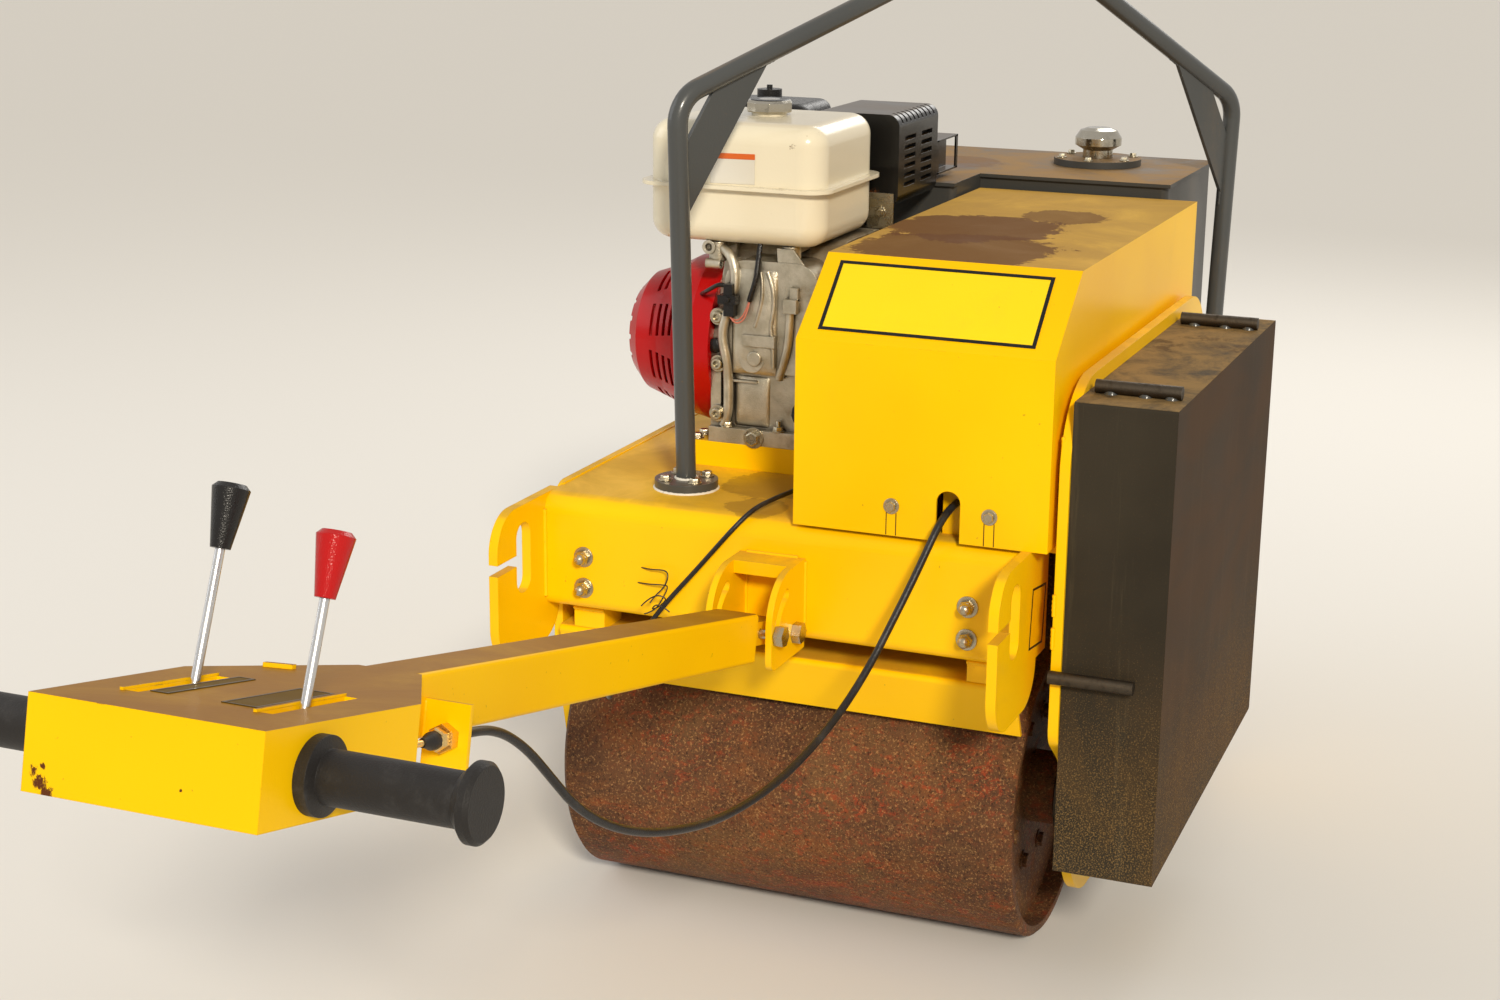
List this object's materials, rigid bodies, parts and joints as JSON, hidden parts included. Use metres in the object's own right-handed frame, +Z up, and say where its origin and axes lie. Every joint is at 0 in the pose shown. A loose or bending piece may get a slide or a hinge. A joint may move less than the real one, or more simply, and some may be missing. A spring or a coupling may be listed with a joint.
{
  "type": "double drum walk-behind road roller",
  "caption": "Walk-behind road roller with two steel drums, a folded deck, petrol engine, side drive housing, lifting hoop and a hinged steering handle.",
  "frame": {"origin": "on the ground, midway between the two drum axles and on the deck's middle line", "axes": "+X forwards away from the operator, +Y to the machine's left, +Z up"},
  "size_m": [2.406, 0.821, 1.2275],
  "materials": {
    "yellow_paint": "gloss",
    "grey_paint": "satin",
    "drum_steel": "rusty",
    "dark_steel": "dull",
    "zinc_steel": "satin",
    "bright_rod": "polished",
    "chrome_cap": "polished",
    "black_plastic": "satin",
    "red_plastic": "gloss",
    "black_rubber": "matt",
    "cast_aluminium": "as cast",
    "red_paint": "gloss",
    "cream_paint": "gloss",
    "black_paint": "satin",
    "cable_black": "satin"
  },
  "bodies": {
    "frame": {"air_cleaner": "black_plastic", "axle_front": "dark_steel", "axle_rear": "dark_steel", "cable_stop": "yellow_paint", "control_cable": "cable_black", "deck": "yellow_paint", "drive_housing": "yellow_paint", "engine_case": "cast_aluminium", "engine_cylinder": "cast_aluminium", "engine_rails": "yellow_paint", "fuel_cap": "black_plastic", "fuel_tank": "cream_paint", "guard_bars": "dark_steel", "handle_clevis": "yellow_paint", "handle_pin": "zinc_steel", "hook_front_left": "yellow_paint", "hook_front_right": "yellow_paint", "hook_rear_left": "yellow_paint", "hook_rear_right": "yellow_paint", "lifting_hoop": "grey_paint", "muffler": "black_paint", "oil_cap": "chrome_cap", "oil_flange": "grey_paint", "oil_tank": "grey_paint", "scraper_front": "yellow_paint", "scraper_rear": "yellow_paint", "side_bridge": "yellow_paint", "side_guard": "grey_paint", "side_plate_left": "yellow_paint", "side_plate_right": "yellow_paint", "starter_cover": "red_paint", "throttle_cable": "cable_black"},
    "drum_rear_body": {"drum_rear": "drum_steel"},
    "drum_front_body": {"drum_front": "drum_steel"},
    "handle": {"handle_beam": "yellow_paint", "stop_bolt": "zinc_steel", "control_box": "yellow_paint", "levers": "bright_rod", "lever_knob_left": "black_plastic", "lever_knob_right": "red_plastic", "grip_left": "black_rubber", "grip_right": "black_rubber", "cable_brackets": "yellow_paint", "cable_glands": "zinc_steel"}
  },
  "joints": [
    {"name": "drum_rear_spin", "type": "hinge", "parent": "frame", "child": "drum_rear_body", "pos_m": [-0.3, 0, 0.19], "axis": [0, 1, 0], "continuous": true},
    {"name": "drum_front_spin", "type": "hinge", "parent": "frame", "child": "drum_front_body", "pos_m": [0.3, 0, 0.19], "axis": [0, 1, 0], "continuous": true},
    {"name": "handle_lift", "type": "hinge", "parent": "frame", "child": "handle", "pos_m": [-0.555, 0, 0.441], "axis": [0, 1, 0], "range_deg": [0, 52], "deforming": ["control_cable", "throttle_cable"]}
  ]
}
